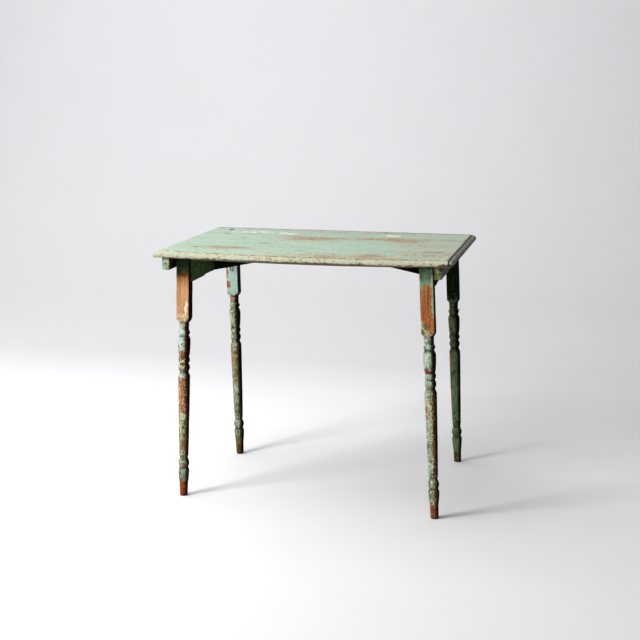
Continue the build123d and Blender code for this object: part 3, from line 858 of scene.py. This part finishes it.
# Looks of each leg. Stops are (height in metres, share or colour) up the leg. "cover" is how much paint
# is left, and "rub_left" and "rub_right" take some of it off the sides. Spots are (height, half height,
# x and y from the leg's centre line, half width, colour, strength).
LEG_MARKS = {
    "left_leg_front": {
        "cover": [
            (0, 0.02), (0.040, 0.05), (0.048, 0.8), (0.110, 0.8), (0.122, 0.62), (0.235, 0.70),
            (0.262, 0.30), (0.335, 0.22), (0.348, 0.5), (0.352, 0.95), (0.361, 0.9), (0.368, 0.6),
            (0.404, 0.62), (0.410, 0.35), (0.418, 0.4), (0.428, 0.75), (0.470, 0.80), (0.500, 0.65),
            (0.512, 0.45), (0.520, 0.06), (0.634, 0.02), (0.646, 0.98), (0.692, 1),
        ],
        "coat": [
            (0, (110, 110, 80)), (0.05, (112, 136, 112)), (0.115, (118, 146, 124)),
            (0.13, (136, 146, 104)), (0.25, (144, 158, 118)), (0.34, (150, 146, 104)),
            (0.352, (168, 200, 186)), (0.37, (146, 150, 110)), (0.405, (150, 160, 124)),
            (0.43, (162, 196, 180)), (0.47, (178, 206, 196)), (0.50, (162, 176, 140)),
            # From 0.64 m up the coat is green paint darkened as painted shade under the top's overhang
            (0.515, (214, 206, 168)), (0.60, (206, 198, 160)), (0.64, (40, 62, 34)),
            (0.692, (20, 44, 20)),
        ],
        "wood": [
            (0, (118, 62, 22)), (0.045, (140, 78, 30)), (0.13, (136, 82, 46)), (0.30, (168, 116, 74)),
            (0.36, (122, 84, 50)), (0.45, (132, 88, 54)), (0.505, (150, 100, 60)),
            (0.52, (190, 142, 100)), (0.60, (193, 144, 100)), (0.640, (150, 92, 52)),
        ],
        "pale": (214, 220, 192), "deep": (58, 66, 38), "right_shade_share": 0.96, "right_shade_from": 0.52,
        "pale_share": 0.35, "speck": (82, 42, 22), "light_speck": (214, 210, 176),
        "right_shade_tone": (22, 7, 5), "right_brown_shade": (62, 26, 16), "right_shade_wood": (96, 48, 28),
        "rub_left": [
            (0, 0), (0.13, 0.5), (0.34, 0.5), (0.36, 0.0), (0.42, 0.45), (0.46, 0.1), (0.5, 0),
        ],
        "rub_right": [
            (0, 0), (0.13, 0.12), (0.34, 0.2), (0.42, 0.3), (0.46, 0.35), (0.5, 0.1), (0.692, 0),
        ],
        "spots": [
            (0.546, 0.017, 0.010, -0.018, 0.0044, (222, 216, 188), 0.95),
            (0.522, 0.006, 0.002, -0.018, 0.014, (196, 188, 150), 0.7),
            (0.412, 0.009, 0.004, -0.014, 0.012, (130, 74, 46), 0.9),
            (0.450, 0.022, 0.014, -0.008, 0.010, (128, 80, 46), 0.9),
            (0.190, 0.030, -0.013, -0.006, 0.007, (112, 66, 38), 0.9),
            (0.150, 0.018, 0.004, -0.013, 0.008, (120, 72, 44), 0.85),
            (0.092, 0.006, 0.003, -0.013, 0.009, (112, 70, 40), 0.85),
            (0.641, 0.006, 0.0, -0.018, 0.022, (96, 52, 28), 0.85),
        ],
    },
    "right_leg_front": {
        "cover": [
            (0, 0.28), (0.038, 0.42), (0.060, 0.80), (0.110, 0.80), (0.122, 0.72), (0.230, 0.70),
            (0.345, 0.64), (0.352, 0.85), (0.404, 0.70), (0.410, 0.42), (0.420, 0.70), (0.500, 0.76),
            (0.512, 0.5), (0.530, 0.22), (0.552, 0.04), (0.634, 0.03), (0.652, 0.88), (0.692, 0.90),
        ],
        "coat": [
            (0, (100, 104, 76)), (0.05, (108, 124, 96)), (0.115, (112, 132, 104)),
            (0.13, (148, 166, 142)), (0.25, (150, 162, 132)), (0.35, (168, 176, 144)),
            (0.41, (158, 186, 166)), (0.45, (152, 176, 142)), (0.48, (150, 186, 166)),
            (0.50, (146, 176, 156)), (0.52, (160, 160, 118)), (0.60, (120, 150, 118)),
            # Above 0.65 m the coat darkens toward the top as painted shade under the top
            (0.648, (104, 138, 114)), (0.662, (78, 106, 78)), (0.678, (58, 80, 54)),
            (0.688, (38, 56, 38)),
        ],
        "wood": [
            (0, (112, 58, 24)), (0.045, (128, 66, 30)), (0.13, (124, 80, 48)), (0.30, (140, 98, 62)),
            (0.41, (124, 72, 42)), (0.505, (140, 88, 50)), (0.53, (172, 96, 44)),
            (0.60, (160, 98, 52)), (0.66, (168, 110, 62)), (0.692, (140, 96, 60)),
        ],
        "pale": (214, 220, 196), "deep": (50, 62, 40), "right_shade_share": 0.97, "right_shade_from": 0.54,
        "pale_share": 0.6, "speck": (70, 40, 22), "light_speck": (222, 222, 198),
        "right_shade_tone": (14, 12, 8), "right_brown_shade": (58, 30, 18), "right_shade_wood": (104, 52, 26),
        "rub_left": [(0, 0), (0.13, 0.0), (0.34, 0.1), (0.692, 0)],
        "rub_right": [
            (0, 0.8), (0.09, 0.7), (0.11, 0.1), (0.125, 1.0), (0.34, 0.9), (0.36, 0.2), (0.5, 0.3),
            (0.52, 0), (0.692, 0),
        ],
        "spots": [
            (0.610, 0.060, 0.0165, -0.018, 0.0042, (150, 172, 138), 0.9),
            (0.522, 0.018, -0.010, -0.018, 0.012, (186, 182, 134), 0.8),
            (0.532, 0.010, -0.004, -0.018, 0.0075, (70, 82, 52), 0.85),
            (0.515, 0.008, -0.014, -0.018, 0.0060, (96, 70, 38), 0.85),
            (0.663, 0.004, 0.008, -0.018, 0.004, (112, 74, 46), 0.9),
            (0.667, 0.004, -0.017, -0.018, 0.004, (96, 62, 40), 0.9),
            (0.640, 0.010, -0.016, -0.018, 0.006, (116, 150, 124), 0.9),
            (0.410, 0.009, -0.002, -0.014, 0.010, (130, 66, 36), 0.9),
            (0.300, 0.022, -0.010, -0.010, 0.006, (140, 92, 54), 0.8),
            (0.200, 0.030, 0.006, -0.012, 0.006, (126, 84, 50), 0.8),
        ],
    },
    "left_leg_back": {
        "cover": [
            (0, 0.40), (0.040, 0.55), (0.050, 0.74), (0.110, 0.74), (0.122, 0.72), (0.240, 0.68),
            (0.300, 0.50), (0.345, 0.55), (0.352, 0.8), (0.404, 0.70), (0.470, 0.74), (0.490, 0.5),
            (0.504, 0.3), (0.512, 1.0), (0.692, 1.0),
        ],
        "coat": [
            (0, (84, 84, 58)), (0.05, (98, 110, 78)), (0.115, (108, 128, 96)), (0.20, (120, 136, 100)),
            (0.34, (132, 140, 104)), (0.36, (150, 172, 148)), (0.41, (134, 146, 110)),
            (0.46, (150, 166, 134)), (0.505, (160, 182, 160)), (0.53, (164, 192, 178)),
            (0.692, (162, 188, 172)),
        ],
        "wood": [
            (0, (74, 52, 32)), (0.13, (104, 72, 44)), (0.30, (138, 86, 50)), (0.50, (146, 84, 56)),
            (0.52, (150, 88, 50)), (0.692, (140, 84, 50)),
        ],
        "pale": (186, 202, 180), "deep": (62, 70, 42), "right_shade_share": 0.96, "right_shade_from": 0.42,
        "pale_share": 0.6, "speck": (76, 44, 24), "light_speck": (178, 192, 166),
        "right_shade_tone": (9, 9, 6), "right_brown_shade": (48, 34, 20), "right_shade_wood": (92, 56, 32),
        "rub_left": [(0, 0), (0.13, 0.4), (0.34, 0.45), (0.36, 0.0), (0.692, 0)],
        "rub_right": [(0, 0), (0.13, 0.15), (0.34, 0.15), (0.5, 0.15), (0.52, 0), (0.692, 0)],
        "spots": [
            (0.580, 0.014, -0.018, -0.016, 0.008, (146, 82, 44), 0.95),
            (0.538, 0.010, -0.018, -0.016, 0.009, (138, 76, 42), 0.95),
            (0.615, 0.008, -0.018, -0.018, 0.005, (150, 92, 56), 0.85),
            # This spot is a painted highlight on the shoulder
            (0.497, 0.007, 0.0, -0.013, 0.010, (176, 116, 92), 0.9),
            (0.320, 0.024, -0.013, -0.006, 0.007, (140, 80, 42), 0.9),
            (0.200, 0.080, -0.014, -0.002, 0.0045, (104, 68, 40), 0.8),
        ],
    },
    "right_leg_back": {
        "cover": [
            (0, 0.4), (0.045, 0.6), (0.055, 0.85), (0.300, 0.85), (0.345, 0.8), (0.404, 0.85),
            (0.500, 0.88), (0.512, 0.98), (0.692, 1),
        ],
        "coat": [
            (0, (88, 92, 64)), (0.06, (100, 116, 82)), (0.20, (108, 128, 94)), (0.34, (104, 120, 86)),
            # From the block up the coat is green paint darkened to near-black as painted shade under
            # the top
            (0.37, (98, 110, 74)), (0.46, (102, 120, 76)), (0.50, (70, 90, 52)), (0.512, (10, 24, 9)),
            (0.692, (2, 12, 3)),
        ],
        "wood": [
            (0, (62, 46, 28)), (0.20, (104, 72, 42)), (0.33, (160, 92, 46)), (0.46, (110, 82, 48)),
            # The bare wood of the block is darkened the same way, as painted shade under the top
            (0.51, (40, 34, 20)), (0.692, (26, 22, 14)),
        ],
        "pale": (130, 150, 110), "deep": (46, 60, 34), "right_shade_share": 0.92, "right_shade_from": 0.44,
        "pale_share": 0.3, "speck": (74, 52, 30), "light_speck": (110, 124, 90),
        "right_shade_tone": (5, 10, 4), "right_brown_shade": (26, 34, 20), "right_shade_wood": (70, 50, 30),
        "rub_left": [(0, 0), (0.13, 0.2), (0.34, 0.3), (0.36, 0.0), (0.692, 0)],
        "rub_right": [(0, 0), (0.692, 0)],
        "spots": [
            (0.320, 0.024, -0.014, -0.006, 0.006, (172, 98, 50), 0.9),
            (0.250, 0.030, -0.014, -0.006, 0.0045, (132, 84, 48), 0.8),
            (0.512, 0.0025, 0.0, -0.018, 0.020, (84, 100, 70), 0.8),
        ],
    },
}


def joinery_paint(name, coats, bare, cover, seed, right_face_shade=0.0, right_face_shade_tone=(0, 0, 0), back_shadow=0.0):
    """Worn paint of rails, cleats and braces over planed wood, with painted shade on right-facing faces
    and a painted shadow toward the back.
    """
    paint = Paint(name)
    chips = paint.noise((110, 110, 110), 6, 0.70, seed)
    cloud = paint.noise((60, 60, 60), 5, 0.68, seed + 2)
    grain = paint.noise((180, 14, 180), 5, 0.62, seed + 4, 0.3)
    fine = paint.noise((600, 600, 600), 3, 0.6, seed)
    low, middle, high = [tone(*c) for c in coats]
    coat = paint.ramp(cloud, [(0.34, low), (0.48, middle), (0.62, high)])
    wood = paint.ramp(grain, [(0.34, tone(*[c * 0.55 for c in bare])), (0.6, tone(*bare))])
    mask = patchy(paint, chips, cover)
    colour = paint.mix(mask, wood, coat)
    # Painted shade on faces turned to the right
    if right_face_shade:
        right = paint.times(paint.spread(paint.facing_x, 0.6, 0.85), right_face_shade)
        colour = paint.mix(right, colour, tone(*right_face_shade_tone))
    # Painted shadow: darker toward the back
    if back_shadow:
        colour = paint.mix(paint.spread(paint.y, -0.16, 0.10, 0, back_shadow), colour, tone(2, 7, 2))
    normal = paint.bump(fine, 0.25, 0.0002)
    normal = paint.bump(grain, 0.3, 0.0005, normal)
    normal = paint.bump(mask, 0.5, 0.0004, normal)
    return paint.finish(colour, paint.spread(chips, 0.3, 0.7, 0.94, 0.78), normal, None, 0.02)


def iron(name, seed, rust_share):
    """Dark forged iron with rust in patches."""
    paint = Paint(name)
    patch = paint.noise((170, 170, 170), 5, 0.62, seed)
    speck = paint.noise((900, 900, 900), 3, 0.6, seed + 1)
    metal = paint.ramp(speck, [(0.3, tone(38, 34, 30)), (0.7, tone(74, 68, 60))])
    rust = paint.ramp(
        speck, [(0.3, tone(66, 34, 18)), (0.5, tone(104, 56, 28)), (0.7, tone(138, 84, 48))]
    )
    mask = patchy(paint, patch, rust_share, 0.05)
    colour = paint.mix(mask, metal, rust)
    rough = paint.spread(patch, 0.35, 0.65, 0.45, 0.85)
    normal = paint.bump(speck, 0.4, 0.0002)
    normal = paint.bump(mask, 0.5, 0.0002, normal)
    return paint.finish(colour, rough, normal, 0.55, 0.5)


# ---------------------------------------------------------------- building
for index in range(BOARDS):
    board(index, BOARDS, top_paint(f"top_paint_{index + 1}", index * 1.7))

for order, (node, marks) in enumerate(LEG_MARKS.items()):
    side, _, place = node.split("_")
    head, foot = leg_ends(node)
    look = leg_paint(f"leg_paint_{side}_{place}", foot, head, 2.1 * order, marks)
    leg(node, f"leg_{side}_{place}", side + "_leg_frame", look, 1.3 * order)
splinter("right_leg_back", "splinter_right_back", "right_leg_frame", look)

rail_looks = {
    "left": joinery_paint(
        "rail_paint_left", ((32, 54, 24), (54, 78, 40), (74, 100, 60)), (120, 84, 54), 0.86, 4.0,
        # The back part of the left rail gets a painted shadow
        back_shadow=0.9,
    ),
    # The right rail is dark green paint darkened to near-black as painted shade under the top
    "right": joinery_paint(
        "rail_paint_right", ((4, 12, 3), (9, 20, 7), (18, 32, 14)), (60, 44, 28), 0.88, 5.0
    ),
}
# The braces are dark green paint darkened to near-black as painted shade under the top
brace_paint = joinery_paint(
    "brace_paint", ((2, 8, 3), (7, 18, 7), (16, 30, 13)), (50, 36, 22), 0.9, 6.0
)
# Each cleat's last two arguments paint shade on its right-facing faces: near-black on the left cleat,
# grey on the right one
cleat_looks = {
    "left": joinery_paint(
        "cleat_paint_left", ((104, 122, 92), (146, 166, 136), (176, 194, 162)), (110, 84, 50), 0.62,
        8.0, 0.94, (16, 20, 10),
    ),
    "right": joinery_paint(
        "cleat_paint_right", ((84, 82, 46), (116, 118, 78), (152, 158, 118)), (92, 68, 34), 0.58, 11.0,
        0.85, (104, 108, 100),
    ),
}
for side in ("left", "right"):
    body = side + "_leg_frame"
    rail, cleat, brace = side + "_rail", side + "_cleat", side + "_brace"
    eased(rail, "rail_" + side, 0.0012, rail_looks[side], body, 0.0004)
    eased(cleat, "cleat_" + side, 0.0014, cleat_looks[side], "table_top", 0.0004)
    eased(brace, "brace_" + side, 0.0014, brace_paint, brace, 0.0003)

hinge_iron = iron("hinge_iron", 2.0, 0.45)
screw_iron = iron("screw_iron", 5.0, 0.6)
staple_iron = iron("staple_iron", 8.0, 0.8)
for node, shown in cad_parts.items():
    if "hinge" in node or "pivot" in node:
        look = hinge_iron
    elif "staple" in node:
        look = staple_iron
    else:
        look = None
    if "screws" in node:
        look = screw_iron
    if look is not None:
        for slot in shown.material_slots:
            slot.material = look

# ---------------------------------------------------------------- stage
SWEEP_START = 1.6
SWEEP_RADIUS = 1.6
STAGE_HALF = 6.0


def stage():
    """Floor that turns up into a backdrop behind the table."""
    outline = [(-7.0, 0.0), (SWEEP_START, 0.0)]
    for k in range(1, 25):
        turn = math.pi / 2 * k / 24
        outline.append(
            (SWEEP_START + SWEEP_RADIUS * math.sin(turn), SWEEP_RADIUS * (1 - math.cos(turn)))
        )
    outline.append((SWEEP_START + SWEEP_RADIUS, 6.0))
    vertices = []
    for y, z in outline:
        vertices += [(-STAGE_HALF, y, z), (STAGE_HALF, y, z)]
    faces = [(2 * k, 2 * k + 1, 2 * k + 3, 2 * k + 2) for k in range(len(outline) - 1)]
    mesh = bpy.data.meshes.new("studio_floor")
    mesh.from_pydata(vertices, [], faces)
    made = bpy.data.objects.new("studio_floor", mesh)
    bpy.context.scene.collection.objects.link(made)
    paint = Paint("studio_paper")
    grain = paint.noise((3, 3, 3), 3)
    # The colour steps paint light on the paper: lightest under and just behind the table, greyer toward
    # the front and round the sweep
    colour = paint.ramp(
        paint.spread(paint.y, -2.4, 3.6),
        [
            (0.00, tone(223, 222, 223)),
            (0.22, tone(226, 225, 226)),
            (0.36, tone(236, 235, 236)),
            (0.50, tone(240, 239, 240)),
            (0.62, tone(234, 233, 234)),
            (0.74, tone(224, 223, 225)),
            (0.88, tone(220, 219, 221)),
            (1.00, tone(227, 226, 229)),
        ],
    )
    colour = paint.mix(paint.spread(grain, 0.35, 0.65, 0, 0.04), colour, tone(200, 199, 200))
    mesh.materials.append(paint.finish(colour, 0.85, paint.bump(grain, 0.05, 0.001), None, 0.05))
    mesh.shade_smooth()
    made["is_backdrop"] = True


def lamp(name, place, target, size, energy):
    """White round lamp that points at a target and stays out of the picture."""
    data = bpy.data.lights.new(name, "AREA")
    data.shape = "DISK"
    data.size = size
    data.energy = energy
    made = bpy.data.objects.new(name, data)
    bpy.context.scene.collection.objects.link(made)
    made.location = place
    made.visible_camera = False
    made.rotation_mode = "QUATERNION"
    made.rotation_quaternion = (Vector(target) - Vector(place)).to_track_quat("-Z", "Y")


stage()
lamp("window_light", (-1.7, -1.7, 1.95), (0.0, 0.0, 0.4), size=0.85, energy=56)
lamp("ceiling_light", (-2.0, -0.9, 3.4), (0.2, 0.0, 0.0), size=6.0, energy=205)
lamp("backdrop_light", (-0.6, 1.2, 3.4), (0.0, 3.2, 1.4), size=2.0, energy=12)
world = bpy.data.worlds.new("studio_air")
world.use_nodes = True
world.node_tree.nodes["Background"].inputs["Color"].default_value = (0.9, 0.93, 1.0, 1)
world.node_tree.nodes["Background"].inputs["Strength"].default_value = 0.08
bpy.context.scene.world = world
bpy.context.scene.view_settings.view_transform = "Standard"

# ---------------------------------------------------------------- camera
CAMERA_PLACE = (0.8159, -3.767, 1.1984)
CAMERA_TURN = 12.328
CAMERA_DOWN = 10.523
CAMERA_ROLL = 0.264
camera_data = bpy.data.cameras.new("camera")
camera_data.sensor_width = 36
camera_data.lens = 75.84
camera_data.clip_end = 60
camera = bpy.data.objects.new("camera", camera_data)
bpy.context.scene.collection.objects.link(camera)
camera.matrix_world = (
    Matrix.Translation(CAMERA_PLACE)
    @ Matrix.Rotation(math.radians(CAMERA_TURN), 4, "Z")
    @ Matrix.Rotation(math.radians(90 - CAMERA_DOWN), 4, "X")
    @ Matrix.Rotation(math.radians(CAMERA_ROLL), 4, "Z")
)
bpy.context.scene.camera = camera

# ---------------------------------------------------------------- the last lines
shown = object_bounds()
